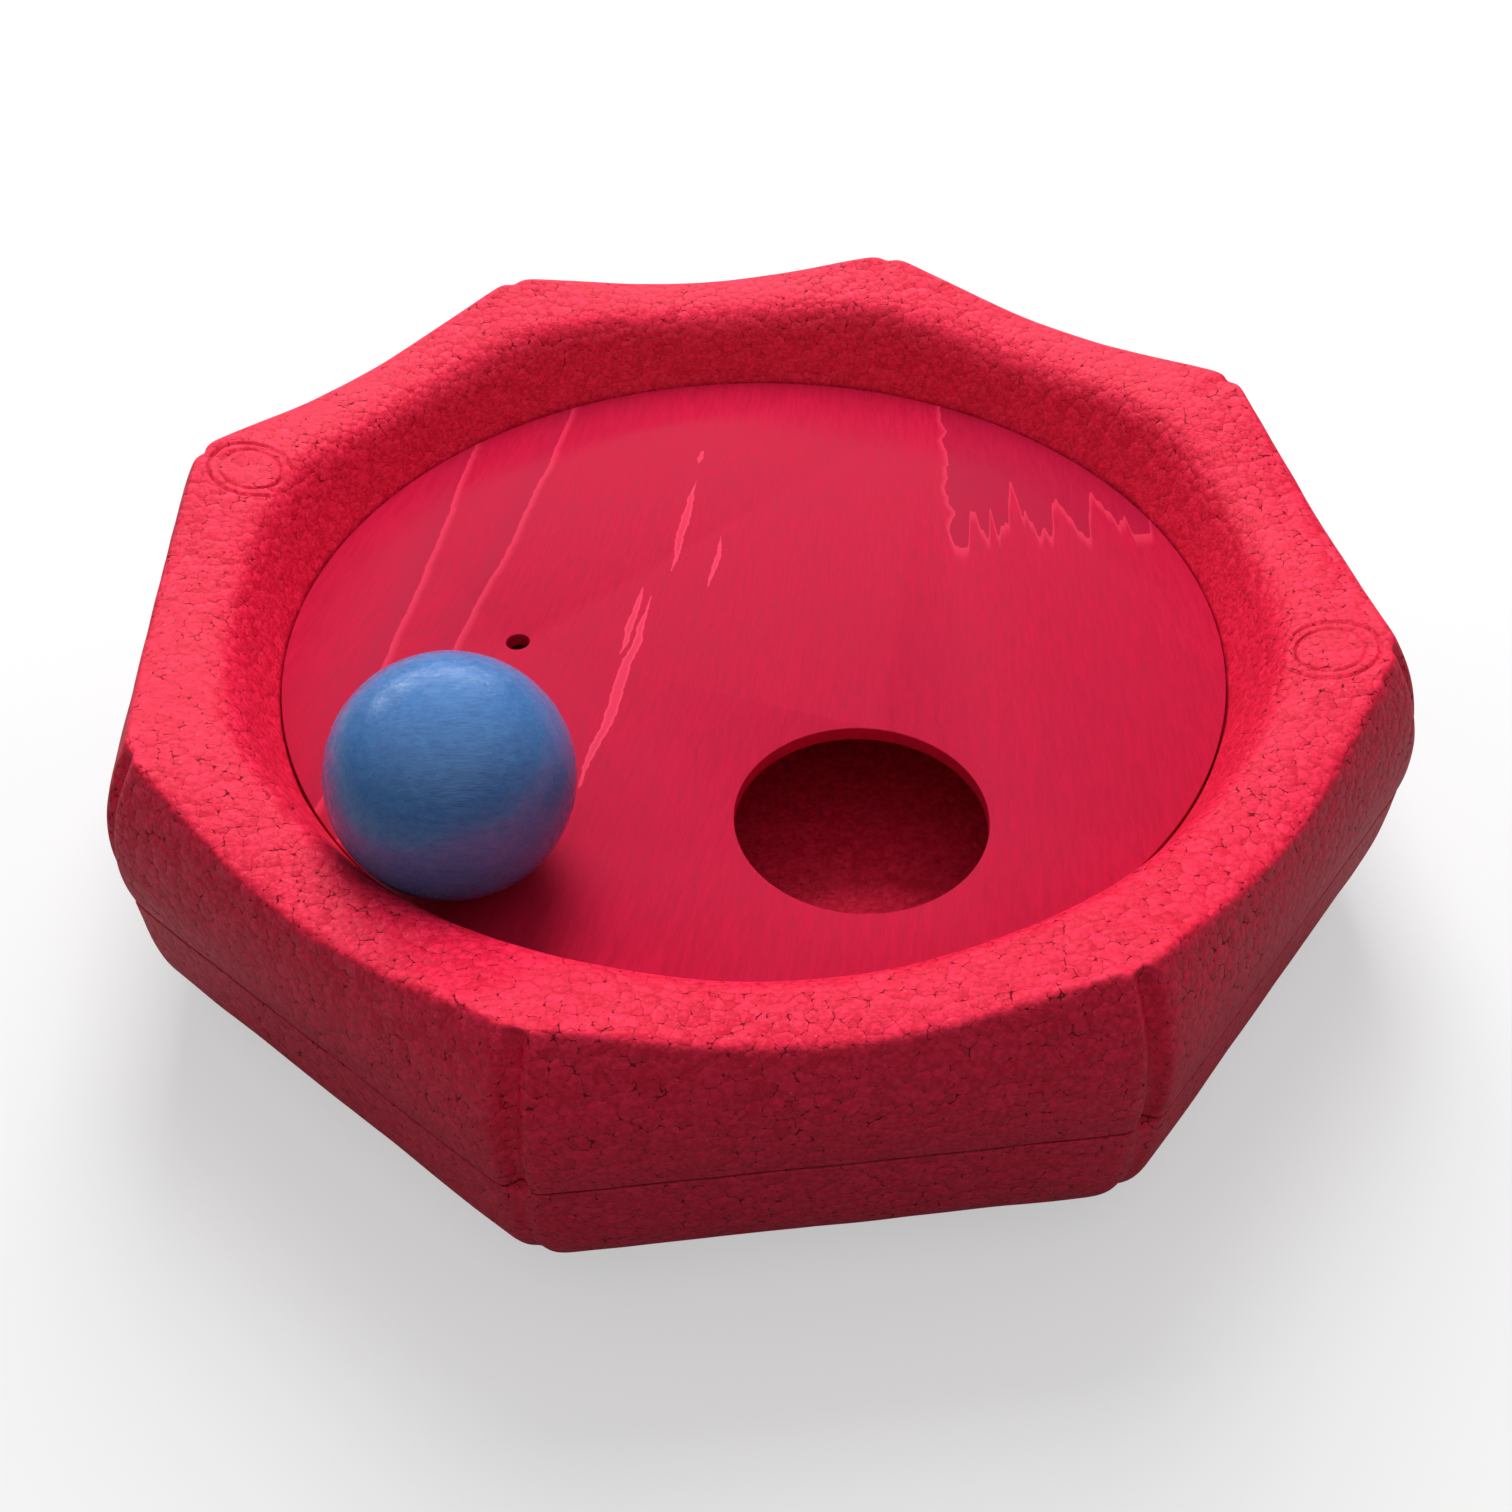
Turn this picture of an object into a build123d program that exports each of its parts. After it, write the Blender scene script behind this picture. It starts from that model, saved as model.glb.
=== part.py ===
from build123d import *
from math import cos, radians, sin, sqrt
import os

# A ball-balancing tray: an eight-sided bead-foam dish, a loose plywood disc that lies in
# it on a round ledge, and a wooden ball that rolls on the disc until it drops in the hole.
# The origin is the middle of the underside, +Z is up, and the flat sides face X and Y.

# ---- driving dimensions, in millimetres and degrees ----
sides = 8
side_step = 360 / sides

tray_height = 110.0          # underside to the rim's eight corners
rim_flat = 187.5             # axis to a flat side, along the rim
parting_flat = 201.0         # axis to a flat side, at the mould's parting line
foot_flat = 200.0            # axis to a flat side, where the underside begins to curve in
wall_belly = 5.4             # how far the upper side wall swells out of a straight line
parting_height = 58.0
parting_notch = 0.8          # depth of the fine groove, and half its width
parting_lip = 0.5            # the foam below the groove stands this much prouder
foot_curve = 36.0            # radius from the side wall into the underside

corner_cap = 12.0            # the corners are cut back to this far outside the flats
corner_groove_depth = 2.0
corner_groove_width = 3.0

scallop_depth = 10.0         # how far the rim dips between two corners
scallop_half_width = 70.0    # half the length of a dip, measured across a flat side

ledge_height = 67.5          # the disc rests here
ledge_radius = 148.0         # inner edge of the ledge
seat_radius = 158.8          # outer edge of the ledge
wall_lean = 0.4              # the inner wall opens by this much for each unit of height
floor_height = 20.0          # the bottom of the hollow under the disc
floor_corner = 144.0         # where the hollow's wall would meet its floor
floor_curve = 28.0

disc_radius = 158.0
disc_thickness = 5.0
disc_edge = 0.4              # sanded edge
ball_hole_diameter = 77.0
ball_hole_offset = 94.6      # axis to the middle of the ball hole
ball_hole_bearing = -76.0
peg_hole_diameter = 8.0
peg_hole_offset = 80.0
peg_hole_bearing = 178.0

ball_diameter = 70.0
ball_bearing = -134.7        # where the ball lies, seen from the axis
running_gap = 0.3            # the ball's clearance from the disc and from the wall

reach = 300.0                # any length well outside the tray


# ---- helpers ----
def around(radius, bearing):
    return radius * cos(radians(bearing)), radius * sin(radians(bearing))


def side_outline(inner, offset):
    """Half of the tray's outline: the flat sides' section, moved outwards by offset."""
    foot = foot_flat + parting_lip + offset
    lip = parting_flat + parting_lip + offset
    seam = parting_flat + offset
    rim = rim_flat + offset
    middle = (parting_height + tray_height) / 2
    lean = (parting_flat - rim_flat) / (tray_height - parting_height)
    belly_out = wall_belly / sqrt(1 + lean**2)
    belly = ((seam + rim) / 2 + belly_out, middle + belly_out * lean)
    arc_middle = (foot - foot_curve * (1 - cos(radians(45))), foot_curve * (1 - sin(radians(45))))
    with BuildSketch(Plane.XZ) as outline:
        with BuildLine():
            Line((inner, 0), (foot - foot_curve, 0))
            ThreePointArc((foot - foot_curve, 0), arc_middle, (foot, foot_curve))
            Line((foot, foot_curve), (lip, parting_height - parting_notch))
            Line((lip, parting_height - parting_notch), (seam - parting_notch, parting_height))
            Line((seam - parting_notch, parting_height), (seam, parting_height + parting_notch))
            ThreePointArc((seam, parting_height + parting_notch), belly, (rim, tray_height))
            Line((rim, tray_height), (inner, tray_height))
            Line((inner, tray_height), (inner, 0))
        make_face()
    return outline.sketch


def turned_body(offset):
    return revolve(side_outline(0, offset), Axis.Z)


def rim_scallop(bearing):
    """A slanted cone from the axis, whose lower side is one dip in the rim."""
    sagitta_radius = (scallop_half_width**2 + scallop_depth**2) / (2 * scallop_depth)
    rings = []
    for distance in (rim_flat / 2, rim_flat * 1.5):
        size = distance / rim_flat
        centre = (distance, 0, tray_height + size * (sagitta_radius - scallop_depth))
        rings.append(Plane(centre, z_dir=(1, 0, 0)) * Circle(size * sagitta_radius))
    return loft(rings, ruled=True).rotate(Axis.Z, bearing)


def hollow():
    """The room above the disc, the ledge's seat, and the bowl under the disc."""
    top = tray_height + scallop_depth
    mouth = seat_radius + wall_lean * (top - ledge_height - disc_thickness)
    with BuildSketch(Plane.XZ) as section:
        with BuildLine():
            bowl = FilletPolyline(
                (ledge_radius, ledge_height),
                (floor_corner, floor_height),
                (0, floor_height),
                radius=floor_curve,
            )
            Polyline(
                bowl @ 1,
                (0, top),
                (mouth, top),
                (seat_radius, ledge_height + disc_thickness),
                (seat_radius, ledge_height),
                bowl @ 0,
            )
        make_face()
    return revolve(section.sketch, Axis.Z)


# ---- the three pieces ----
def foam_tray():
    slab = extrude(side_outline(-reach, 0), amount=reach, both=True)
    body = slab
    for k in range(1, sides):
        body = body & slab.rotate(Axis.Z, k * side_step)
    body = body & turned_body(corner_cap)

    core = turned_body(corner_cap - corner_groove_depth)
    for k in range(sides):
        blade = Pos(reach / 2, 0, tray_height / 2) * Box(reach, corner_groove_width, 2 * tray_height)
        body = body - (blade.rotate(Axis.Z, (k + 0.5) * side_step) - core)
        body = body - rim_scallop(k * side_step)
    return body - hollow()


def game_disc():
    disc = Cylinder(disc_radius, disc_thickness, align=(Align.CENTER, Align.CENTER, Align.MIN))
    disc = chamfer(disc.edges(), disc_edge)
    holes = (
        (ball_hole_diameter, ball_hole_offset, ball_hole_bearing),
        (peg_hole_diameter, peg_hole_offset, peg_hole_bearing),
    )
    for diameter, offset, bearing in holes:
        disc = disc - Pos(*around(offset, bearing), 0) * Cylinder(diameter / 2, 4 * disc_thickness)
    return Pos(0, 0, ledge_height) * disc


def wooden_ball():
    radius = ball_diameter / 2
    # The wall leans out, so the ball touches it along the wall's normal, above the seat.
    to_wall = (radius + running_gap) * (sqrt(1 + wall_lean**2) - wall_lean)
    track = seat_radius - to_wall
    height = ledge_height + disc_thickness + running_gap + radius
    print("ball track radius", round(track, 2), "height", round(height, 2))
    return Pos(*around(track, ball_bearing), height) * Sphere(radius)


os.makedirs("parts", exist_ok=True)
pieces = {"foam_tray": foam_tray(), "game_disc": game_disc(), "wooden_ball": wooden_ball()}
for name, piece in pieces.items():
    piece.label = name
    export_step(piece, f"parts/{name}.step")
    print(name, round(piece.volume / 1000), "cm3", piece.bounding_box().size)
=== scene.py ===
# %% [markdown]
# # A ball balancing tray
# A dish of moulded bead foam holds a loose plywood disc, and a wooden ball rolls on the disc.
# The design model already has the three pieces at their real size. This lesson makes a
# finished version of each: first its shape, then its material, then the light and the camera.

# %% Load the design model
import bmesh
import bpy
from math import atan2, cos, hypot, pi, radians, sin, tan
from mathutils import Matrix, Vector


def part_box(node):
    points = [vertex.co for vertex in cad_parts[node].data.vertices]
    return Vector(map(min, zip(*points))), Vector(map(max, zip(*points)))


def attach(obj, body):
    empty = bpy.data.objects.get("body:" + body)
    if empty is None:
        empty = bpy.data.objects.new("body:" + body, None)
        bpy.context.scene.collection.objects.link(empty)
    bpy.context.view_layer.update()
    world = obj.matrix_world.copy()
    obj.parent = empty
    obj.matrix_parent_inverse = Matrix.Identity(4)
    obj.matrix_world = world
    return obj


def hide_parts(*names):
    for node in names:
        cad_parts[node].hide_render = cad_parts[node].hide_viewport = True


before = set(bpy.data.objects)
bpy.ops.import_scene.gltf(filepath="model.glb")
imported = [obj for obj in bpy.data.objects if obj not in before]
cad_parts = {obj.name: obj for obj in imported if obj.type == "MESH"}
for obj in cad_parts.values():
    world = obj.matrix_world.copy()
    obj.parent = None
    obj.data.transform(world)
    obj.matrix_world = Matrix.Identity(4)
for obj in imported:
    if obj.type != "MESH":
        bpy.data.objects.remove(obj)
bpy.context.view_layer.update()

mm = 0.001
bpy.context.scene.view_settings.view_transform = "Standard"

# %% [markdown]
# ## Sizes
# Everything is placed from the design model's own boxes, so the finished pieces can't drift
# away from it. Only what the boxes don't say, such as how soft an edge is, is given here.

# %% Sizes read from the design model
tray_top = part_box("foam_tray")[1].z
disc_low, disc_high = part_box("game_disc")
disc_bottom, disc_top = disc_low.z, disc_high.z
disc_radius = (disc_high.x - disc_low.x) / 2
ball_low, ball_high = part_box("wooden_ball")
ball_radius = (ball_high.z - ball_low.z) / 2
ball_middle = (ball_low + ball_high) / 2
print("tray top", round(tray_top, 4), "disc radius", round(disc_radius, 4), "ball", round(ball_radius, 4))


# %% [markdown]
# ## Helpers for every piece
# Blender's operators act on whatever is selected, so each piece starts from a clear
# selection. A finished piece keeps its place in its mesh, with its object at the origin.
# Picking points by a rule, rather than by number, keeps working when their number changes.

# %% Selection helpers
def start_clear():
    if bpy.context.object and bpy.context.object.mode != "OBJECT":
        bpy.ops.object.mode_set(mode="OBJECT")
    bpy.ops.object.select_all(action="DESELECT")


def only(piece):
    start_clear()
    piece.select_set(True)
    bpy.context.view_layer.objects.active = piece


def settle(piece):
    """Put the piece's place, turn and size into its mesh."""
    only(piece)
    bpy.ops.object.transform_apply(location=True, rotation=True, scale=True)


def pick(piece, mode, wanted):
    """In edit mode, select only the vertices, edges or faces for which wanted() is true."""
    bpy.ops.mesh.select_mode(type=mode)
    bpy.ops.mesh.select_all(action="DESELECT")
    mesh = bmesh.from_edit_mesh(piece.data)
    items = {"VERT": mesh.verts, "EDGE": mesh.edges, "FACE": mesh.faces}[mode]
    for item in items:
        if wanted(item):
            item.select_set(True)
    mesh.select_flush_mode()
    bmesh.update_edit_mesh(piece.data)


# %% [markdown]
# ## The foam dish, 1: its side wall
# The dish is one moulding with eight flat sides. It could be carved out of a block, but it is
# easier to grow it as a stack of eight-sided rings, because then every ring can have its own
# width. The side wall isn't straight: between the seam and the rim it swells a little. One
# formula gives its width at any height, so that the rings and the dips agree on it.

# %% The wall's width at a height
sides = 8
half_side = pi / sides      # angle from the middle of a side to its corner
rim_flat = 187.5 * mm       # axis to a flat side along the rim
seam_flat = 201.0 * mm      # the same at the seam
seam_height = 58.0 * mm
wall_swell = 5.4 * mm       # how far the upper wall swells out of a straight line


def wall_flat(height):
    """Axis to a flat side at a height on the swelling upper wall."""
    share = (height - seam_height) / (tray_top - seam_height)
    return seam_flat + (rim_flat - seam_flat) * share + wall_swell * 4 * share * (1 - share)


halfway_up = (seam_height + tray_top) / 2
print("half-width halfway up the wall", round(wall_flat(halfway_up) / mm, 1), "mm")

# %% [markdown]
# ## The foam dish, 2: the first ring
# The first ring is the rim's outer edge: a circle of eight points. A vertex bevel rounds its
# corners. The middle point of each corner is then drawn in a little, which starts the shallow
# valley that runs down every corner of the real moulding. Each later ring is extruded from the
# one before and inherits the valley.

# %% First ring
corner_round = 8.6 * mm
corner_segments = 6
side_cuts = 7
valley_start = 0.997        # the valley's share of the full radius, on the rim itself
valley_width = radians(0.3)     # only a corner's middle point is this close to it
long_edge = 50 * mm         # the eight sides are longer than this, the corners' edges shorter
same_height = 0.01 * mm     # a point this close to a ring's height is on the ring
start_clear()
bpy.ops.mesh.primitive_circle_add(
    vertices=sides, radius=rim_flat / cos(half_side), fill_type="NGON",
    location=(0, 0, tray_top), rotation=(0, 0, half_side),
)
dish = bpy.context.object
dish.name = "foam_dish"
settle(dish)
bpy.ops.object.mode_set(mode="EDIT")
bpy.ops.mesh.select_all(action="SELECT")
bpy.ops.mesh.bevel(offset=corner_round, affect="VERTICES", segments=corner_segments, profile=0.5)
bpy.ops.mesh.select_all(action="SELECT")
bpy.ops.mesh.delete(type="ONLY_FACE")
pick(dish, "EDGE", lambda edge: edge.calc_length() > long_edge)
bpy.ops.mesh.subdivide(number_cuts=side_cuts)


def off_corner(point):
    """Angle, seen from the axis, between a point and the nearest corner."""
    return abs((atan2(point.y, point.x) + pi) % (2 * half_side) - half_side)


def draw_valley(piece, height, share):
    """Move the eight valley points of the ring at a height, and leave that ring selected."""
    def on_ring(vertex):
        return abs(vertex.co.z - height) < same_height

    pick(piece, "VERT", lambda v: on_ring(v) and off_corner(v.co) < valley_width)
    bpy.ops.transform.resize(value=(share, share, 1), center_override=(0, 0, height))
    pick(piece, "VERT", on_ring)


draw_valley(dish, tray_top, valley_start)
print("points in a ring", len(bmesh.from_edit_mesh(dish.data).verts))


# %% [markdown]
# ## The foam dish, 3: a helper for every other ring
# A ring is always made in the same three moves: extrude the selected ring straight up or down,
# make it rounder if it belongs to the round mouth or bowl, and scale it to its half-width.

# %% The ring helper
def selected_half_width(piece):
    mesh = bmesh.from_edit_mesh(piece.data)
    return max(vertex.co.x for vertex in mesh.verts if vertex.select)


def selected_height(piece):
    mesh = bmesh.from_edit_mesh(piece.data)
    heights = [vertex.co.z for vertex in mesh.verts if vertex.select]
    return sum(heights) / len(heights)


def next_ring(piece, half_width, height, roundness=0.0):
    rise = height - selected_height(piece)
    bpy.ops.mesh.extrude_region_move(TRANSFORM_OT_translate={"value": (0, 0, rise)})
    if roundness:
        bpy.ops.transform.tosphere(value=roundness)
    share = half_width / selected_half_width(piece)
    bpy.ops.transform.resize(value=(share, share, 1), center_override=(0, 0, height))


def close_ring(piece, half_width, height):
    """One last small ring, drawn together to a point."""
    next_ring(piece, half_width, height)
    bpy.ops.mesh.extrude_region_move()
    bpy.ops.mesh.merge(type="CENTER")


print("the first ring's half-width", round(selected_half_width(dish) / mm, 1), "mm")

# %% [markdown]
# ## The foam dish, 4: down the outside
# The rings go down over the swelling wall, and across the fine groove where the mould's two
# halves met, with the lower half standing out as a slight lip. Below the seam most of the
# valley is filled again.

# %% Outside, from the rim down past the seam
valley_draw = 0.975         # the valley's share of the full radius, at full depth
valley_filled = 0.7         # how much of it the lower half fills again
upper_shares = (0.94, 0.82, 0.69, 0.54, 0.39, 0.24, 0.10)   # from the seam up to the rim
for share in upper_shares:
    height = seam_height + (tray_top - seam_height) * share
    next_ring(dish, wall_flat(height), height)
    if share == upper_shares[0]:
        draw_valley(dish, height, valley_draw / valley_start)
lip_flat = 201.1 * mm
groove_flat = seam_flat - 2.4 * mm
seam = (                    # half-width, and height above the seam
    (seam_flat, 1.0 * mm),
    (seam_flat - 0.1 * mm, 0.35 * mm),
    (groove_flat, 0.15 * mm),
    (groove_flat, -0.15 * mm),
    (lip_flat - 0.3 * mm, -0.35 * mm),
    (lip_flat, -0.9 * mm),
    (lip_flat - 0.2 * mm, -3.0 * mm),
)
for half_width, rise in seam:
    next_ring(dish, half_width, seam_height + rise)
lowest_seam_ring = seam_height + seam[-1][1]
draw_valley(dish, lowest_seam_ring, 1 / valley_draw**valley_filled)
print("half-width under the seam", round(selected_half_width(dish) / mm, 1), "mm")

# %% [markdown]
# ## The foam dish, 5: the foot and the underside
# A quarter circle turns the wall under, so that the dish can be rocked without an edge that
# breaks off. It could be a bevel, but rings at even turns of the curve keep the corners' own
# rounding. The last three rings simply shut the underside.

# %% The foot, as far as the middle of the underside
foot_curve = 36.0 * mm
foot_start = foot_curve + 9 * mm
foot_flat = 200.5 * mm
underside_flat, underside_round, last_ring = 130 * mm, 70 * mm, 15 * mm
next_ring(dish, foot_flat + 0.4 * mm, foot_start)
for turn in range(0, 91, 15):
    half_width = foot_flat - foot_curve * (1 - cos(radians(turn)))
    next_ring(dish, half_width, foot_curve * (1 - sin(radians(turn))))
next_ring(dish, underside_flat, 0)
next_ring(dish, underside_round, 0, roundness=1.0)
close_ring(dish, last_ring, 0)
print("outside closed at height", round(selected_height(dish), 5))

# %% [markdown]
# ## The foam dish, 6: down the inside wall
# The flat top of the rim is called the land here. From its outer edge the rings turn from
# eight-sided to round across it, and then go down the leaning inner wall. The first ring is
# selected again to start from, since its inner side is still open.

# %% Inside, from the rim down to the disc's seat
wall_lean = 0.4             # sideways run of the inner wall for each unit of height
seat_radius = 158.8 * mm


def mouth(height):
    """Radius of the leaning inner wall at a height."""
    return seat_radius + wall_lean * (height - disc_top)


pick(dish, "VERT", lambda v: abs(v.co.z - tray_top) < same_height and len(v.link_edges) == 3)
outer_land = rim_flat - 3 * mm
inner_land = mouth(tray_top) + 8.5 * mm
next_ring(dish, outer_land, tray_top)
next_ring(dish, inner_land, tray_top, roundness=0.85)
rounded_edge = (            # radius, and height
    (mouth(tray_top) + 3.2 * mm, tray_top - 1.7 * mm),
    (mouth(tray_top) - 1.0 * mm, tray_top - 5.2 * mm),
)
wall_heights = (tray_top - 11 * mm, tray_top - 18 * mm, tray_top - 25 * mm, disc_top + 3 * mm)
inner_wall = tuple((mouth(height), height) for height in wall_heights)
for radius, height in rounded_edge + inner_wall:
    next_ring(dish, radius, height, roundness=1.0)
print("half-width above the disc", round(selected_half_width(dish) / mm, 1), "mm")

# %% [markdown]
# ## The foam dish, 7: the seat, the ledge and the bowl
# The disc lies in a straight-walled seat, on a narrow ledge. Under it is the bowl that
# catches the ball. The ledge is modelled a tenth of a millimetre below the disc, because two
# faces in exactly the same place flicker when they are rendered.

# %% Inside, from the seat down to the floor of the bowl
ledge_radius = 148.0 * mm
ledge_height = disc_bottom - 0.1 * mm
floor_height = 20.0 * mm
seat_and_ledge = (          # radius, and height
    (seat_radius, disc_top),
    (seat_radius, disc_bottom + 0.6 * mm),
    (seat_radius - 0.6 * mm, ledge_height),
    (ledge_radius + 0.6 * mm, ledge_height),
    (ledge_radius, disc_bottom - 0.8 * mm),
)
bowl = (                    # radius, and height
    (ledge_radius - 1.2 * mm, 56 * mm),
    (144.5 * mm, 45 * mm),
    (138.5 * mm, 32 * mm),
    (128.0 * mm, 23 * mm),
    (112.0 * mm, floor_height),
    (60.0 * mm, floor_height),
)
for radius, height in seat_and_ledge + bowl:
    next_ring(dish, radius, height, roundness=1.0)
close_ring(dish, last_ring, floor_height)
bpy.ops.mesh.select_all(action="SELECT")
bpy.ops.mesh.normals_make_consistent(inside=False)
bpy.ops.object.mode_set(mode="OBJECT")
print("rings make", len(dish.data.polygons), "faces")

# %% [markdown]
# ## The foam dish, 8: eight dips in the rim
# Between its corners the rim sinks in a long shallow curve. At the corners only the land's
# inner edge sinks, so the mouth is more nearly level than the outer edge. No operator presses
# this into a wall that leans, so a rule moves the upper points: each slides down its own
# wall, the less the lower it stands.

# %% Press the dips
dip_depth = 10.0 * mm       # how far the rim sinks between two corners
corner_drop = 5.5 * mm      # how far the land slopes down to its inner edge at a corner
dip_foot = 64.0 * mm        # below this height nothing moves
dip_reach = 1.16            # above 1, the dip ends a little before the corner
dip_softness = 0.25         # share of a cosine in the curve, which softens its two ends
seat_edge = disc_top + 1 * mm


def dip_share(point):
    """How much of the full dip a point gets: 1 at the middle of a side, 0 at a corner."""
    along = tan(half_side - off_corner(point)) / tan(half_side)
    along = min(1.0, dip_reach * abs(along))
    return (1 - dip_softness) * (1 - along**2) + dip_softness * cos(along * pi / 2) ** 2


def flat_distance(point):
    """Distance from the axis, measured square to the nearest flat side."""
    return hypot(point.x, point.y) * cos(half_side - off_corner(point))


deepest = 0.0
for vertex in dish.data.vertices:
    point = vertex.co
    if point.z <= dip_foot:
        continue
    inner_edge = mouth(point.z)
    outer_share = (flat_distance(point) - inner_edge) / (wall_flat(point.z) - inner_edge)
    outer_share = min(1.0, max(0.0, outer_share))
    if point.z < seat_edge and outer_share < 0.5:
        continue
    share = dip_share(point)
    sink = dip_depth * share + corner_drop * (1 - share) * (1 - outer_share)
    sink *= (point.z - dip_foot) / (tray_top - dip_foot)
    spread = outer_share * (wall_flat(point.z - sink) - wall_flat(point.z))
    spread -= (1 - outer_share) * wall_lean * sink
    radius = hypot(point.x, point.y)
    vertex.co.x *= (radius + spread) / radius
    vertex.co.y *= (radius + spread) / radius
    vertex.co.z -= sink
    deepest = max(deepest, sink)
print("deepest dip", round(deepest / mm, 1), "mm")

# %% [markdown]
# ## The foam dish, 9: soften it
# Moulded foam has no sharp edge. Subdivision turns the few rings into soft rounded edges, and
# a faint Displace with a cloud texture takes away the machined look, because real foam
# surfaces swell and shrink a little as the part cools. The underside is then flattened again,
# so that the dish stands on the floor and not in it. A modifier is applied as soon as it is
# added, so that the next step can work on its result.

# %% Subdivide and unsettle the surface
def apply_modifier(piece, kind, name, **settings):
    only(piece)
    modifier = piece.modifiers.new(name, kind)
    for key, value in settings.items():
        setattr(modifier, key, value)
    bpy.ops.object.modifier_apply(modifier=name)


def triangles(piece):
    return sum(len(face.vertices) - 2 for face in piece.data.polygons)


apply_modifier(dish, "SUBSURF", "Soften", levels=2, render_levels=2)
clouds = bpy.data.textures.new("foam swell", "CLOUDS")
clouds.noise_scale = 22 * mm
clouds.noise_depth = 1
apply_modifier(
    dish, "DISPLACE", "Swell", texture=clouds, texture_coords="GLOBAL",
    strength=0.5 * mm, mid_level=0.5,
)
for vertex in dish.data.vertices:
    vertex.co.z = max(0.0, vertex.co.z)
print("dish triangles", triangles(dish))

# %% [markdown]
# ## The foam dish, 10: moulding marks
# At two opposite corners the mould's filling gun left a pair of rings in the rim. The faces
# there are subdivided again, so that the narrow grooves are real shape and not only shading.
# Which points move is settled before any of them moves, because a point's normal changes with
# its neighbours.

# %% Press the filling marks
mark_offset = 183.5 * mm
mark_bearings = (157.5, -22.5)      # degrees
mark_rings = ((13.8 * mm, 1.1 * mm), (10.2 * mm, 0.8 * mm))     # radius and depth
mark_groove = 0.6 * mm      # half the width of a groove
mark_press = 0.15 * mm      # how far the whole mark is pressed in
mark_reach = 17 * mm        # nothing farther out than this belongs to a mark
lowest_land = tray_top - 9 * mm     # at a corner, the land is nowhere lower
mark_middles = [
    Vector((mark_offset * cos(radians(b)), mark_offset * sin(radians(b)), 0)) for b in mark_bearings
]


def from_mark(point):
    return min(hypot(point.x - m.x, point.y - m.y) for m in mark_middles)


def faces_up_on_land(point, normal):
    return normal.z > 0.6 and point.z > lowest_land


def in_mark_area(face):
    middle = face.calc_center_median()
    return faces_up_on_land(middle, face.normal) and from_mark(middle) < mark_reach


only(dish)
bpy.ops.object.mode_set(mode="EDIT")
pick(dish, "FACE", in_mark_area)
bpy.ops.mesh.subdivide(number_cuts=3, smoothness=0)
bpy.ops.object.mode_set(mode="OBJECT")
land_points = [v for v in dish.data.vertices if faces_up_on_land(v.co, v.normal)]
for vertex in land_points:
    distance = from_mark(vertex.co)
    if distance > mark_reach:
        continue
    sink = mark_press if distance < mark_rings[0][0] else 0.0
    for ring_radius, depth in mark_rings:
        away = abs(distance - ring_radius) / mark_groove
        sink += depth * max(0.0, 1 - away**2)
    vertex.co.z -= sink
only(dish)
bpy.ops.object.shade_smooth()
print("dish triangles with marks", triangles(dish))

# %% [markdown]
# ## The plywood disc
# The board is a flat round plate with a hole for the ball and a small one near its side. It
# is cut as in the workshop: a round blank, two holes bored by boolean cutters, and then a
# sanded edge from a narrow bevel on every sharp rim.

# %% Cut the disc
disc_thickness = disc_top - disc_bottom
ball_hole_radius = 38.5 * mm
ball_hole_offset, ball_hole_bearing = 94.6 * mm, radians(-76)
small_hole_radius = 4.0 * mm
small_hole_offset, small_hole_bearing = 80.0 * mm, radians(178)
start_clear()
bpy.ops.mesh.primitive_cylinder_add(
    vertices=256, radius=disc_radius, depth=disc_thickness,
    location=(0, 0, (disc_top + disc_bottom) / 2),
)
board = bpy.context.object
board.name = "plywood_disc"
settle(board)


def bore(piece, radius, offset, bearing, points):
    start_clear()
    bpy.ops.mesh.primitive_cylinder_add(
        vertices=points, radius=radius, depth=4 * disc_thickness,
        location=(offset * cos(bearing), offset * sin(bearing), disc_bottom),
    )
    cutter = bpy.context.object
    apply_modifier(piece, "BOOLEAN", "Bore", object=cutter, operation="DIFFERENCE", solver="EXACT")
    bpy.data.objects.remove(cutter)


bore(board, ball_hole_radius, ball_hole_offset, ball_hole_bearing, points=128)
bore(board, small_hole_radius, small_hole_offset, small_hole_bearing, points=48)
apply_modifier(
    board, "BEVEL", "Sanded", width=0.45 * mm, segments=3, limit_method="ANGLE",
    angle_limit=radians(60),
)
only(board)
bpy.ops.object.shade_smooth_by_angle(angle=radians(35))
print("disc triangles", triangles(board))

# %% [markdown]
# ## The wooden ball
# A ball made from a subdivided cube, pressed to a sphere, has even faces all over and no
# pinched poles, so its grain and its gloss stay smooth where the lathe's centres were.
# Pressing keeps the average distance and not the radius, so the ball is scaled afterwards.

# %% Turn the ball
ball_cuts = 39
start_clear()
bpy.ops.mesh.primitive_cube_add(size=ball_radius, location=ball_middle)
ball = bpy.context.object
ball.name = "turned_ball"
settle(ball)
bpy.ops.object.mode_set(mode="EDIT")
bpy.ops.mesh.select_all(action="SELECT")
bpy.ops.mesh.subdivide(number_cuts=ball_cuts)
bpy.ops.mesh.select_all(action="SELECT")
bpy.ops.transform.tosphere(value=1.0)
bpy.ops.object.mode_set(mode="OBJECT")
heights = [vertex.co.z for vertex in ball.data.vertices]
pressed_radius = (max(heights) - min(heights)) / 2
for vertex in ball.data.vertices:
    vertex.co = ball_middle + (vertex.co - ball_middle) * (ball_radius / pressed_radius)
only(ball)
bpy.ops.object.shade_smooth()
print("ball triangles", triangles(ball))


# %% [markdown]
# ## Materials: helpers
# A material here is a net of nodes. One helper adds any node with its settings and inputs.
# The others add the nodes for sums and hand back their result, so that a formula in the net
# reads almost like a sum on paper.

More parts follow.
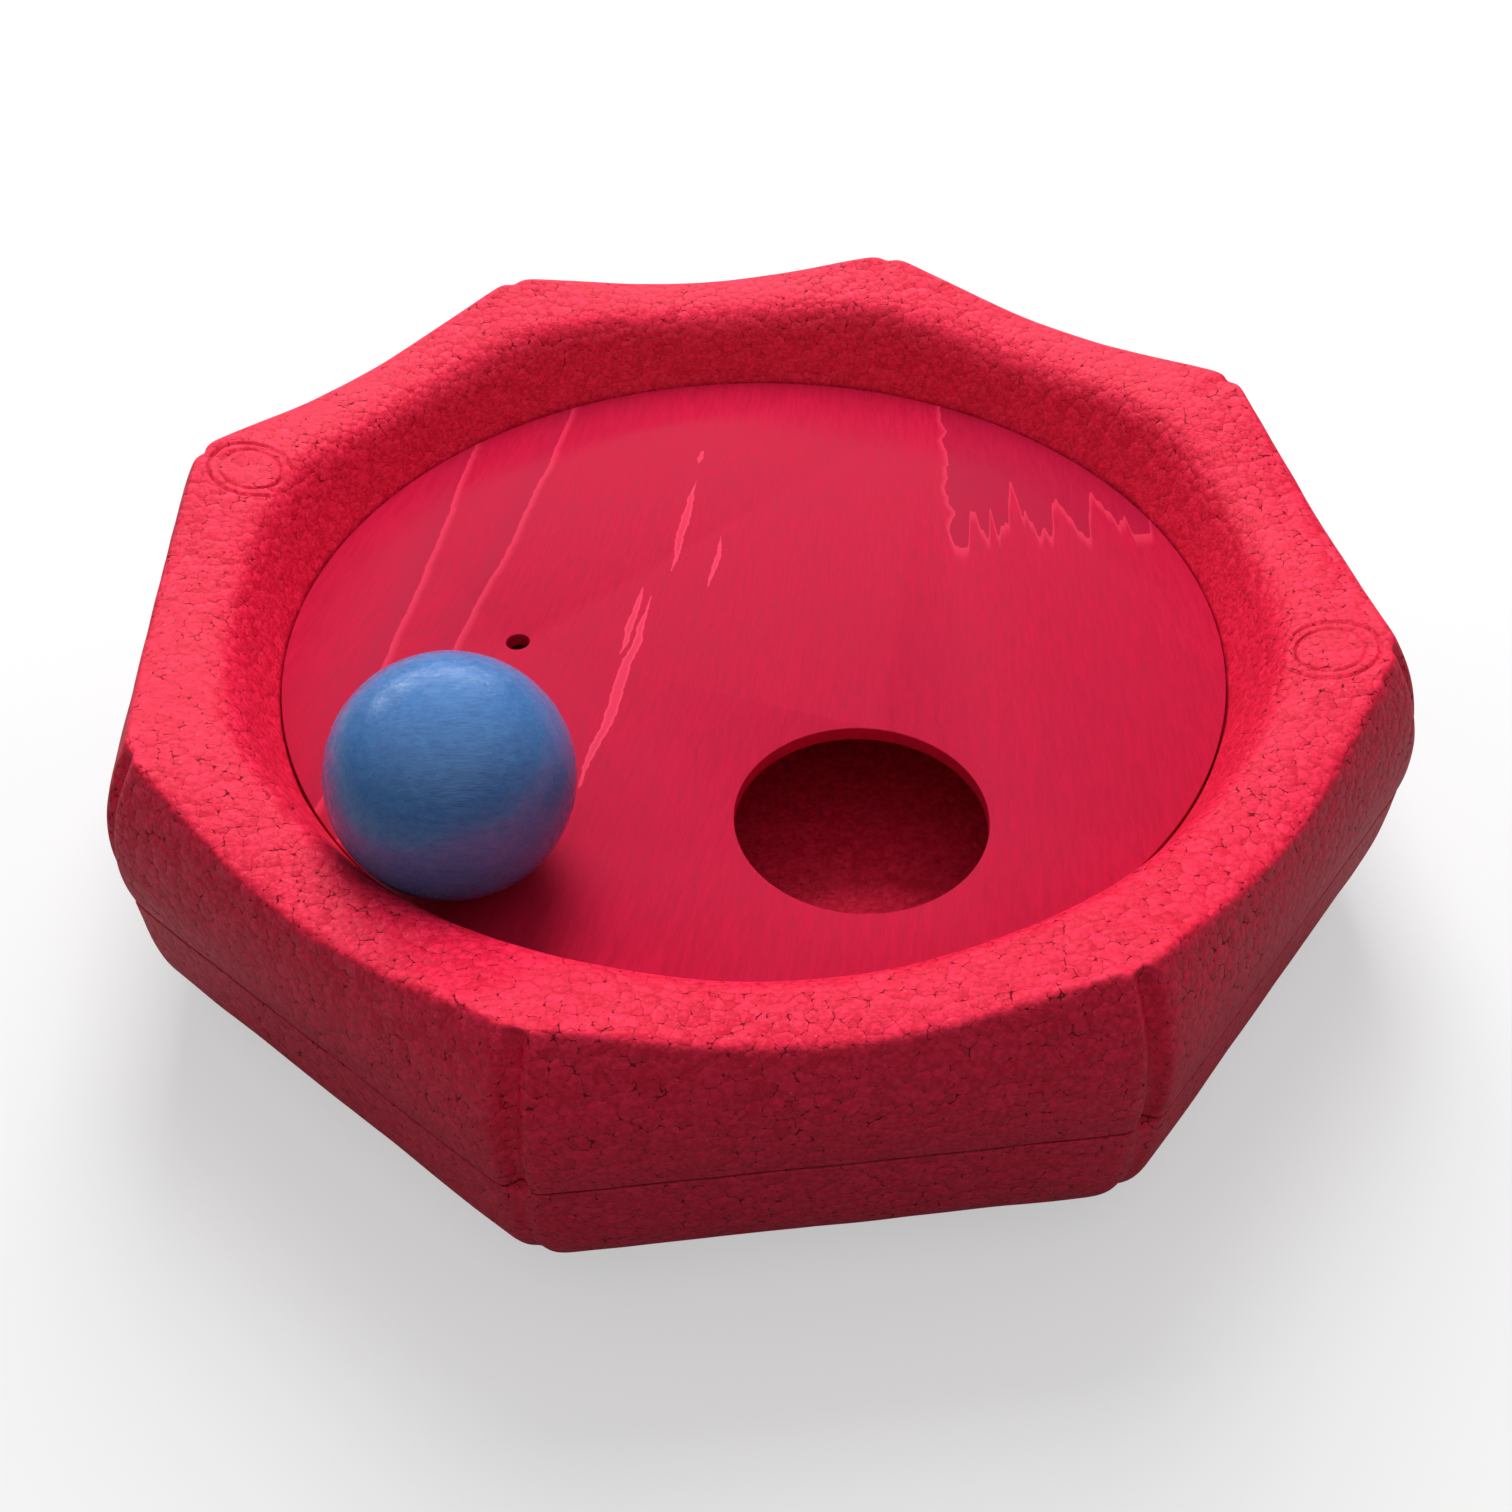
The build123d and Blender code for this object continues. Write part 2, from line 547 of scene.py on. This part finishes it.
# %% Node helpers
def add(tree, kind, inputs=(), **settings):
    """A new node. An input is another node's output, which gets linked, or a plain value."""
    node = tree.nodes.new(kind)
    for key, value in settings.items():
        setattr(node, key, value)
    for key, value in dict(inputs).items():
        if isinstance(value, bpy.types.NodeSocket):
            tree.links.new(value, node.inputs[key])
        else:
            node.inputs[key].default_value = value
    return node


def calc(tree, operation, *values):
    return add(tree, "ShaderNodeMath", enumerate(values), operation=operation).outputs[0]


def plus(tree, first, second):
    return calc(tree, "ADD", first, second)


def less(tree, first, second):
    return calc(tree, "SUBTRACT", first, second)


def times(tree, first, second):
    return calc(tree, "MULTIPLY", first, second)


def vector(tree, operation, *values):
    """Both outputs of a Vector Math node: a vector, and a number called Value."""
    return add(tree, "ShaderNodeVectorMath", enumerate(values), operation=operation).outputs


print("materials in the design model", len(bpy.data.materials))

# %% [markdown]
# ## Bead foam, 1: the beads
# Bead foam is thousands of soft balls steamed together in a mould. Where they meet the
# mould's wall they flatten into rounded patches 3 to 4 mm wide. They could be modelled one
# by one, but there are far too many, and a 3D Voronoi texture has just this pattern: its
# cells are the beads, and its edge distance gives their outlines. A little noise is added to
# the place first, so that no outline is quite straight.

# %% Foam material: the beads
def new_material(name):
    material = bpy.data.materials.new(name)
    material.use_nodes = True
    tree = material.node_tree
    shader = tree.nodes["Principled BSDF"]
    place = add(tree, "ShaderNodeTexCoord").outputs["Object"]
    return material, tree, shader, place


bead_size = 3.7 * mm
outline_wobble = 1.6 * mm
foam, tree, shader, place = new_material("red bead foam")
wobble = add(tree, "ShaderNodeTexNoise", {"Vector": place, "Scale": 420.0, "Detail": 1.0})
shift = vector(tree, "SUBTRACT", wobble.outputs["Color"], (0.5, 0.5, 0.5))[0]
shift = add(tree, "ShaderNodeVectorMath", {0: shift, "Scale": outline_wobble}, operation="SCALE")
spot = vector(tree, "ADD", place, shift.outputs[0])[0]
beads = {"Vector": spot, "Scale": 1 / bead_size, "Randomness": 0.85}
bead = add(tree, "ShaderNodeTexVoronoi", beads, feature="F1")
edge = add(tree, "ShaderNodeTexVoronoi", beads, feature="DISTANCE_TO_EDGE").outputs["Distance"]
rounded = beads | {"Smoothness": 0.55}
soft = add(tree, "ShaderNodeTexVoronoi", rounded, feature="SMOOTH_F1").outputs["Distance"]
chance = add(tree, "ShaderNodeSeparateColor", {"Color": bead.outputs["Color"]}).outputs
print("beads across the dish, about", round(2 * seam_flat / bead_size))

# %% [markdown]
# ## Bead foam, 2: pits and hairlines
# A small dark pit is left where three beads meet badly. There the plain distance stands
# highest above the softened one, so a pit opens where the difference passes a level. In
# loosely packed places that level is lower, and the pits are more. A hairline follows the
# outlines, stronger on some beads than on others. The wall inside the rim was moulded on a
# polished core, and is smoother than the rest.

# %% Foam material: pits and hairlines
def noise(tree, place, scale, detail, **more):
    """A cloudy value round a half. Scale is how many clouds go in a metre."""
    inputs = {"Vector": place, "Scale": scale, "Detail": detail} | more
    return add(tree, "ShaderNodeTexNoise", inputs).outputs["Fac"]


def step(tree, value, low, high, to_low=0.0, to_high=1.0):
    """A smooth step from to_low to to_high as value goes from low to high."""
    inputs = {"Value": value, "From Min": low, "From Max": high, "To Min": to_low, "To Max": to_high}
    return add(tree, "ShaderNodeMapRange", inputs, interpolation_type="SMOOTHSTEP").outputs["Result"]


pit_level = 0.0945
pit_loosening = 0.014       # how far loose packing lowers that level
pit_ramp = 0.007            # from no pit to a full one
core_skin = 0.35            # how rough the polished inner wall is, against 1 elsewhere
polished_to, rough_from = 161 * mm, 169 * mm    # distances from the axis
patch = noise(tree, place, scale=45.0, detail=4.0)
fine = noise(tree, place, scale=1150.0, detail=2.0)
loose = step(tree, patch, 0.35, 0.72)
meeting = less(tree, bead.outputs["Distance"], soft)
pit_start = less(tree, pit_level, times(tree, loose, pit_loosening))
pit = step(tree, less(tree, meeting, pit_start), 0.0, pit_ramp)
hairline = times(tree, step(tree, edge, 0.06, 0.0), step(tree, chance[1], 0.0, 0.7))
where = add(tree, "ShaderNodeSeparateXYZ", {0: place}).outputs
from_above = vector(tree, "MULTIPLY", place, (1, 1, 0))[0]
from_axis = vector(tree, "LENGTH", from_above)["Value"]
rough_skin = step(tree, from_axis, polished_to, rough_from, core_skin, 1.0)
pit = times(tree, pit, rough_skin)
print("foam nodes so far", len(tree.nodes))

# %% [markdown]
# ## Bead foam, 3: the filling marks
# The filling gun's face is smooth metal, so the beads stand out only half as much inside a
# mark. Its two grooves also look darker, in places. The masks for both are measured from
# the same middles as the modelled grooves, so the colour always lies in the groove.

# %% Foam material: the filling marks
mark_distances = [vector(tree, "DISTANCE", from_above, m)["Value"] for m in mark_middles]
mark_distance = calc(tree, "MINIMUM", *mark_distances)
on_land = step(tree, where["Z"], lowest_land - 3 * mm, lowest_land)
near_mark = times(tree, step(tree, mark_distance, 14.5 * mm, 13.0 * mm), on_land)
mark_line = 0.0
for ring_radius, _ in mark_rings:
    from_ring = calc(tree, "ABSOLUTE", less(tree, mark_distance, ring_radius))
    mark_line = calc(tree, "MAXIMUM", mark_line, step(tree, from_ring, 0.55 * mm, 0.15 * mm))
worn = step(tree, patch, 0.42, 0.55, 0.2, 1.0)
mark_line = times(tree, times(tree, mark_line, on_land), worn)
relief = less(tree, 1.0, times(tree, near_mark, 0.5))
relief = times(tree, relief, rough_skin)
print("filling marks", len(mark_distances), "rings in each", len(mark_rings))

# %% [markdown]
# ## Bead foam, 4: relief
# The beads are too small and too many to be modelled, so their relief is a bump. Each bead
# bulges a little, and its face is tilted its own way, so that each catches the light
# differently. The hairlines and the pits are cut in, and a fine grain lies over it all.

# %% Foam material: relief
def bump(tree, shader, height, strength, distance):
    """Make a height show as relief on the shader."""
    inputs = {"Height": height, "Strength": strength, "Distance": distance}
    tree.links.new(add(tree, "ShaderNodeBump", inputs).outputs[0], shader.inputs["Normal"])


bead_bulge = -1.38          # below 0, because the distance grows away from a bead's middle
bead_tilt = 0.22 / mm
hairline_cut, pit_cut, fine_grain = 0.10, 0.8, 0.42
within = vector(tree, "SUBTRACT", spot, bead.outputs["Position"])[0]
lean = vector(tree, "SUBTRACT", bead.outputs["Color"], (0.5, 0.5, 0.5))[0]
tilt = vector(tree, "DOT_PRODUCT", within, lean)["Value"]
bulge = times(tree, calc(tree, "POWER", soft, 2.0), bead_bulge)
height = plus(tree, bulge, times(tree, tilt, bead_tilt))
height = times(tree, height, plus(tree, 0.7, times(tree, loose, 0.3)))
height = less(tree, height, times(tree, hairline, hairline_cut))
height = times(tree, height, relief)
height = plus(tree, height, times(tree, fine, fine_grain))
height = less(tree, height, times(tree, pit, pit_cut))
bump(tree, shader, height, strength=1.0, distance=0.5 * mm)
print("foam nodes so far", len(tree.nodes))

# %% [markdown]
# ## Bead foam, 5: colour and gloss
# Every bead is dyed a slightly different red, and a fine mottle breaks that up. The darker
# reds of the hairlines, pits and filling marks are laid over it one after the other, each by
# its own mask, and so is a dark line of painted shade in the seam's groove. A few tiny pale
# specks are painted glints, small highlights of the kind that bead tips catch.

# %% Foam material: colour and gloss
def tint(tree, factor, first, second):
    """Colour first where factor is 0, second where it is 1, and a mix in between."""
    inputs = {0: factor, 6: first, 7: second}
    return add(tree, "ShaderNodeMix", inputs, data_type="RGBA").outputs[2]


def paint(piece, material):
    piece.data.materials.clear()
    piece.data.materials.append(material)


bead_red, bright_red = (0.66, 0.0025, 0.031, 1), (0.98, 0.020, 0.084, 1)
hairline_red, pit_red = (0.45, 0.001, 0.012, 1), (0.20, 0.0, 0.006, 1)
seam_shade_red, mark_red = (0.12, 0.0, 0.005, 1), (0.34, 0.0, 0.012, 1)
glint_pink = (1.0, 0.22, 0.26, 1)
# Painted glints: tiny pale pink specks stand in for the highlights that bead tips catch.
speck = add(tree, "ShaderNodeTexVoronoi", {"Vector": place, "Scale": 420.0}, feature="F1").outputs
speck_chance = add(tree, "ShaderNodeSeparateColor", {"Color": speck["Color"]}).outputs[0]
speck_spot = step(tree, speck["Distance"], 0.13, 0.07)
painted_glint = times(tree, speck_spot, step(tree, speck_chance, 0.88, 0.90))
mottle = step(tree, noise(tree, place, scale=620.0, detail=3.0), 0.40, 0.64, 0.0, 0.58)
tone = plus(tree, times(tree, chance[0], 0.42), mottle)
# Painted shade: a dark line at the seam's height on the outer wall stands in for the shade under the
# upper wall's edge.
from_seam = calc(tree, "ABSOLUTE", less(tree, where["Z"], seam_height))
on_outer_wall = step(tree, from_axis, 190 * mm, 192 * mm)
painted_seam_shade = times(tree, step(tree, from_seam, 0.75 * mm, 0.25 * mm), on_outer_wall)
skin = tint(tree, tone, bead_red, bright_red)
for mask, amount, colour in (
    (hairline, 0.42, hairline_red),
    (pit, 0.95, pit_red),
    (painted_glint, 0.55, glint_pink),
    (painted_seam_shade, 0.75, seam_shade_red),
    (mark_line, 0.6, mark_red),
):
    skin = tint(tree, times(tree, mask, amount), skin, colour)
tree.links.new(skin, shader.inputs["Base Color"])
roughness = plus(tree, 0.38, times(tree, fine, 0.25))
roughness = plus(tree, roughness, times(tree, pit, 0.3))
tree.links.new(roughness, shader.inputs["Roughness"])
shader.inputs["Specular IOR Level"].default_value = 0.35
paint(dish, foam)
print("foam nodes", len(tree.nodes))

# %% [markdown]
# ## Wood fibre, a node group
# Both wooden pieces show fine fibres: long thin streaks of lighter and darker stain. Each
# could have its own nodes, but a group is built once and kept alike. Its input is the
# fibre's own coordinates, so that each piece can run its grain its own way. It puts out a
# shade from 0 to 1 and a height for the bump.

# %% Build the fibre group
streak_stretch = 0.11       # scale along a fibre, against 1 across it
thin_ratio = 2.7            # how much finer the thin streaks are than the broad ones
broad_share, thin_share = 0.55, 0.45
fibre = bpy.data.node_groups.new("wood fibre", "ShaderNodeTree")
for name, kind in (("Place", "NodeSocketVector"), ("Scale", "NodeSocketFloat")):
    fibre.interface.new_socket(name, in_out="INPUT", socket_type=kind)
for name in ("Shade", "Height"):
    fibre.interface.new_socket(name, in_out="OUTPUT", socket_type="NodeSocketFloat")
group_inputs = fibre.nodes.new("NodeGroupInput").outputs
stretch = {"Vector": group_inputs["Place"], "Scale": (1.0, streak_stretch, 1.0)}
streak_place = add(fibre, "ShaderNodeMapping", stretch).outputs[0]
streak_scale = group_inputs["Scale"]
broad = noise(fibre, streak_place, streak_scale, 3.0)
thin = noise(fibre, streak_place, times(fibre, streak_scale, thin_ratio), 3.0, Distortion=0.6)
shade = plus(fibre, times(fibre, broad, broad_share), times(fibre, thin, thin_share))
group_results = fibre.nodes.new("NodeGroupOutput").inputs
fibre.links.new(step(fibre, shade, 0.3, 0.7), group_results["Shade"])
fibre.links.new(thin, group_results["Height"])


def wood_fibre(tree, place, scale):
    node = add(tree, "ShaderNodeGroup", node_tree=fibre)
    tree.links.new(place, node.inputs["Place"])
    node.inputs["Scale"].default_value = scale
    return node.outputs


print("fibre group nodes", len(fibre.nodes))

# %% [markdown]
# ## Red stained plywood, 1: the way its grain runs
# The face veneer is peeled off a log like paper off a roll, so the growth rings show as long
# lines on the left, as narrow lens-shaped slivers in the middle, and as one jagged edge where
# the knife left a ring. The grain fans out a little, so a coordinate "across" is worked out
# that stays the same along a fibre, and every line of the figure is placed by it.

# %% Plywood material: the grain's own coordinates
grain_lean = 0.25           # sideways run of the grain for each unit along it, at the middle
plywood, tree, shader, place = new_material("red stained plywood")
where = add(tree, "ShaderNodeSeparateXYZ", {0: place}).outputs
along = where["Y"]
across = times(tree, where["X"], plus(tree, along, 1.0))
across = less(tree, across, times(tree, along, grain_lean))
fibre_place = add(tree, "ShaderNodeCombineXYZ", {0: across, 1: along, 2: where["Z"]}).outputs[0]
grain = wood_fibre(tree, fibre_place, scale=680.0)
print("plywood nodes so far", len(tree.nodes))


# %% [markdown]
# ## Red stained plywood, 2: two long rings
# Each ring is darker on one side and glows on the other, then fades. It is a straight line
# across the grain that is made to wander, slowly for its course and quickly for its ragged
# edge. A noise in one dimension is enough for that, since it only has to change along the
# ring.

# %% Plywood material: two long rings
def waver(value, scale, reach, start=0.0, detail=2.0):
    """A wandering line: plus or minus reach, as value goes on."""
    inputs = {"W": plus(tree, value, start), "Scale": scale, "Detail": detail}
    wander = add(tree, "ShaderNodeTexNoise", inputs, noise_dimensions="1D").outputs[0]
    return times(tree, less(tree, wander, 0.5), 2 * reach)


def glow(distance, fade):
    """Bright just past a ring's edge, fading out over a length."""
    past_edge = step(tree, distance, 0.0, 0.5 * mm)
    return times(tree, past_edge, step(tree, distance, fade, 0.3 * mm))


long_rings = (              # place across the grain, swing along it, start of its wander
    (-124 * mm, -0.13, 0.3),
    (-102.5 * mm, 0.0, 0.9),
)
shade_width, glow_width = 16 * mm, 4 * mm
ring_glow, ring_shade = 0.0, 0.0
for ring_across, swing, start in long_rings:
    ring_at = plus(tree, times(tree, along, swing), ring_across)
    ring_at = plus(tree, ring_at, waver(along, scale=18.0, reach=1.8 * mm, start=start))
    ring_at = plus(tree, ring_at, waver(along, scale=190.0, reach=0.6 * mm, start=start))
    past = less(tree, across, ring_at)
    ring_glow = calc(tree, "MAXIMUM", ring_glow, glow(past, glow_width))
    before = times(tree, step(tree, past, 0.2 * mm, 0.0), step(tree, past, -shade_width, 0.0))
    ring_shade = calc(tree, "MAXIMUM", ring_shade, before)
print("long rings", len(long_rings))

# %% [markdown]
# ## Red stained plywood, 3: slivers
# Where the knife only grazed a ring it left a lens-shaped sliver with a bright outline. All
# five follow the same bend, because they lie along the same fibres. Each one's half-width is
# a parabola that is 0 at its two ends, with a ragged edge added between them.

# %% Plywood material: slivers
slivers_in_veneer = (       # place across the grain, its two ends along it, half its width
    (-39.5 * mm, -74 * mm, 24 * mm, 2.1 * mm),
    (-43.5 * mm, -10 * mm, 29 * mm, 1.5 * mm),
    (-35.5 * mm, 34 * mm, 91 * mm, 1.9 * mm),
    (-36.0 * mm, 101 * mm, 110 * mm, 1.3 * mm),
    (-19.5 * mm, 23 * mm, 54 * mm, 1.2 * mm),
)
inner_glow = 0.65           # brightness inside the outline
slivers = 0.0
bend = waver(along, scale=26.0, reach=2.2 * mm, start=0.7)
ragged = waver(along, scale=260.0, reach=0.6 * mm, start=0.2, detail=3.0)
for sliver_across, low, high, half_width in slivers_in_veneer:
    way = calc(tree, "DIVIDE", less(tree, along, (low + high) / 2), (high - low) / 2)
    between_ends = calc(tree, "COMPARE", way, 0.0, 1.0)
    room = times(tree, less(tree, 1.0, times(tree, way, way)), half_width)
    room = plus(tree, room, times(tree, ragged, between_ends))
    middle = plus(tree, bend, sliver_across)
    off_middle = calc(tree, "ABSOLUTE", less(tree, across, middle))
    depth_in = less(tree, room, off_middle)
    outline = step(tree, depth_in, 0.5 * mm, 1.3 * mm, 1.0, inner_glow)
    outlined = times(tree, step(tree, depth_in, 0.0, 0.3 * mm), outline)
    slivers = calc(tree, "MAXIMUM", slivers, outlined)
print("slivers", len(slivers_in_veneer))

# %% [markdown]
# ## Red stained plywood, 4: the jagged patch
# On the right the knife ran out of one ring in a row of spikes. The patch beyond them is
# darker, and the wood just outside its edge glows. A noise across the grain gives the spikes'
# heights, and a second one along the grain gives the patch's ragged side.

# %% Plywood material: the jagged patch
spike_height, spike_foot = 44 * mm, 36 * mm
patch_side = 70 * mm
glow_from, glow_to = 58 * mm, 66 * mm   # across the grain, the glow sets in between these
side_narrowing = 3.0        # along the patch's side the glow is this much narrower
jagged = waver(across, scale=62.0, reach=50 * mm, start=0.06, detail=3.0)
spikes = step(tree, jagged, -12 * mm, 22 * mm)
peaks = plus(tree, times(tree, spikes, spike_height), spike_foot)
below = less(tree, peaks, along)
side_waver = waver(along, scale=60.0, reach=5 * mm, start=0.4, detail=3.0)
side_at = plus(tree, side_waver, patch_side)
beside = times(tree, less(tree, side_at, across), side_narrowing)
outside_patch = calc(tree, "MAXIMUM", below, beside)
glow_shown = step(tree, across, glow_from, glow_to)
patch_glow = times(tree, glow(outside_patch, 9 * mm), glow_shown)
patch_shade = step(tree, outside_patch, 0.5 * mm, 0.0)
print("plywood nodes so far", len(tree.nodes))

# %% [markdown]
# ## Red stained plywood, 5: stain, fibres and gloss
# A water stain sinks in unevenly: more in soft fibres, and in slow clouds over the sheet. The
# figure is laid over that, dark sides first and bright lines last. The face isn't varnished,
# so it has hardly any mirror shine, and the fibres stand up a tenth of a millimetre.

# %% Plywood material: stain, fibres and gloss
fibre_red, bright_fibre = (0.425, 0.0045, 0.034, 1), (0.545, 0.008, 0.046, 1)
cloud_red, ring_red = (0.42, 0.009, 0.040, 1), (0.33, 0.010, 0.042, 1)
patch_red, line_red = (0.27, 0.005, 0.032, 1), (0.86, 0.055, 0.125, 1)
cloudy = step(tree, noise(tree, place, scale=14.0, detail=3.0), 0.35, 0.7, 0.0, 0.35)
stain = tint(tree, grain["Shade"], fibre_red, bright_fibre)
stain = tint(tree, cloudy, stain, cloud_red)
stain = tint(tree, times(tree, ring_shade, 0.35), stain, ring_red)
stain = tint(tree, times(tree, patch_shade, 0.40), stain, patch_red)
light_line = calc(tree, "MAXIMUM", times(tree, ring_glow, 0.45), times(tree, slivers, 0.75))
light_line = calc(tree, "MAXIMUM", light_line, times(tree, patch_glow, 0.40))
stain = tint(tree, light_line, stain, line_red)
tree.links.new(stain, shader.inputs["Base Color"])
bump(tree, shader, grain["Height"], strength=0.6, distance=0.10 * mm)
roughness = plus(tree, 0.52, times(tree, grain["Shade"], 0.16))
tree.links.new(roughness, shader.inputs["Roughness"])
shader.inputs["Specular IOR Level"].default_value = 0.10
paint(board, plywood)
print("plywood nodes", len(tree.nodes))

# %% [markdown]
# ## Blue stained ball
# The ball is dipped in a thin stain, so the turned wood still shows as fine level lines. A
# little wax gives it a soft gloss that breaks up over the fibres. The lines come from the
# same fibre group as the board's, with its coordinates turned so that the fibres lie level.

# %% Ball material
deep_blue, light_blue = (0.052, 0.160, 0.420, 1), (0.080, 0.235, 0.560, 1)
pale_blue = (0.09, 0.30, 0.62, 1)
waxed, dry = 0.12, 0.42     # roughness with wax and without
blue, tree, shader, place = new_material("blue stained beech")
turned = {"Vector": place, "Rotation": (radians(90), radians(6), radians(80))}
level_lines = add(tree, "ShaderNodeMapping", turned).outputs[0]
grain = wood_fibre(tree, level_lines, scale=900.0)
blotch = noise(tree, place, scale=240.0, detail=4.0, Roughness=0.6)
stain = tint(tree, grain["Shade"], deep_blue, light_blue)
stain = tint(tree, step(tree, blotch, 0.50, 0.75, 0.0, 0.4), stain, pale_blue)
tree.links.new(stain, shader.inputs["Base Color"])
tree.links.new(step(tree, blotch, 0.38, 0.54, dry, waxed), shader.inputs["Roughness"])
raised = plus(tree, grain["Height"], times(tree, blotch, 1.5))
bump(tree, shader, raised, strength=0.5, distance=0.16 * mm)
shader.inputs["Specular IOR Level"].default_value = 0.5
paint(ball, blue)
print("ball nodes", len(tree.nodes))

# %% [markdown]
# ## Put the pieces on their bodies
# Each finished piece rides on the body of the part it stands for, so it follows when the disc
# is lifted or the ball rolls.

# %% Ride and replace
for piece, body, node, slot_name in (
    (dish, "tray", "foam_tray", "red_foam"),
    (board, "disc", "game_disc", "red_plywood"),
    (ball, "ball", "wooden_ball", "blue_wood"),
):
    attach(piece, body)
    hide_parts(node)
    print(piece.name, "rides on", body)

# %% [markdown]
# ## The floor
# The floor is a plain pale sheet, so wide that its edge is never seen. It looks almost white
# to the camera and still takes a soft shadow, because part of its brightness is a glow that
# only the camera sees. Towards the dish it throws back just a little light, so that the red
# walls keep their depth.

# %% Floor
floor_grey, thrown_back = (0.42, 0.42, 0.42, 1), (0.19, 0.16, 0.20, 1)
camera_glow = 0.48
floor_size = 60.0
start_clear()
bpy.ops.mesh.primitive_plane_add(size=floor_size, location=(0, 0, 0))
floor = bpy.context.object
floor.name = "floor"
floor_paint, tree, shader, _ = new_material("pale floor")
shader.inputs["Base Color"].default_value = floor_grey
shader.inputs["Emission Color"].default_value = (1, 1, 1, 1)
shader.inputs["Roughness"].default_value = 0.9
shader.inputs["Specular IOR Level"].default_value = 0.0
dull = add(tree, "ShaderNodeBsdfDiffuse", {"Color": thrown_back})
path = add(tree, "ShaderNodeLightPath").outputs
tree.links.new(times(tree, path["Is Camera Ray"], camera_glow), shader.inputs["Emission Strength"])
choice = {0: path["Is Diffuse Ray"], 1: shader.outputs[0], 2: dull.outputs[0]}
seen = add(tree, "ShaderNodeMixShader", choice)
tree.links.new(seen.outputs[0], tree.nodes["Material Output"].inputs["Surface"])
paint(floor, floor_paint)
print("floor", floor_size, "m wide")

# %% [markdown]
# ## The room
# The room is a plain world that is brighter overhead than at the sides, which fills the
# shadows softly from above. The camera sees a second, paler version of it as the backdrop, so
# the backdrop can be light without lighting the tray.

# %% Room light
room = bpy.data.worlds.new("room")
bpy.context.scene.world = room
room.use_nodes = True
tree = room.node_tree
direction = add(tree, "ShaderNodeTexCoord").outputs["Generated"]
upward = add(tree, "ShaderNodeSeparateXYZ", {0: direction}).outputs["Z"]
overhead = step(tree, upward, 0.1, 0.95, 0.03, 0.62)
backdrop = step(tree, upward, 0.0, 0.45, 0.67, 0.95)
strength = add(tree, "ShaderNodeMix", {2: overhead, 3: backdrop}, data_type="FLOAT")
tree.links.new(add(tree, "ShaderNodeLightPath").outputs["Is Camera Ray"], strength.inputs[0])
tree.links.new(strength.outputs[0], tree.nodes["Background"].inputs["Strength"])
tree.nodes["Background"].inputs["Color"].default_value = (1, 1, 1, 1)
print("room nodes", len(tree.nodes))

# %% [markdown]
# ## Two lamps
# One large soft lamp hangs above and behind the tray. It makes the rim and the disc bright
# and leaves the near side in shade. A long low one stands for a window. It is there for the
# bright arc in the ball's wax, so it shows only in reflections, and the large lamp is kept
# out of them.

# %% Lamps
lamp_aim = Vector((0, 0, 0.08))     # the middle of the tray, a little under its rim


def lamp(name, width, depth, power, place):
    light = bpy.data.lights.new(name, "AREA")
    light.shape = "RECTANGLE"
    light.size = width
    light.size_y = depth
    light.energy = power
    holder = bpy.data.objects.new(name, light)
    holder.location = place
    holder.rotation_euler = (lamp_aim - Vector(place)).to_track_quat("-Z", "Y").to_euler()
    bpy.context.scene.collection.objects.link(holder)
    return holder


key = lamp("soft key", width=0.9, depth=1.2, power=33.0, place=(0.08, 1.02, 1.40))
key.visible_glossy = False
window = lamp("window", width=2.3, depth=0.10, power=9.0, place=(-0.27, 1.27, 0.83))
window.visible_diffuse = False
print("lamps", key.name, "and", window.name)

# %% [markdown]
# ## The camera
# The camera stands a little left of the middle, less than half a metre from the tray and
# above it, and looks down at a point on the rim's level. It is near enough for the near side
# to look larger than the far one, and it is rolled by almost one degree.

# %% Camera
camera_place = Vector((-0.0419, -0.4201, 0.3128 + tray_top))
camera_aim = Vector((-0.0097, -0.1006, tray_top))
camera_roll = -0.015
camera_data = bpy.data.cameras.new("camera")
camera_data.lens = 38.1
camera_data.sensor_width = 36.0
camera_data.clip_start = 0.01
camera = bpy.data.objects.new("camera", camera_data)
look = (camera_aim - camera_place).to_track_quat("-Z", "Y").to_matrix().to_4x4()
camera.matrix_world = Matrix.Translation(camera_place) @ look @ Matrix.Rotation(camera_roll, 4, "Z")
bpy.context.scene.collection.objects.link(camera)
bpy.context.scene.camera = camera
print("camera to aim", round((camera_aim - camera_place).length, 3), "m")
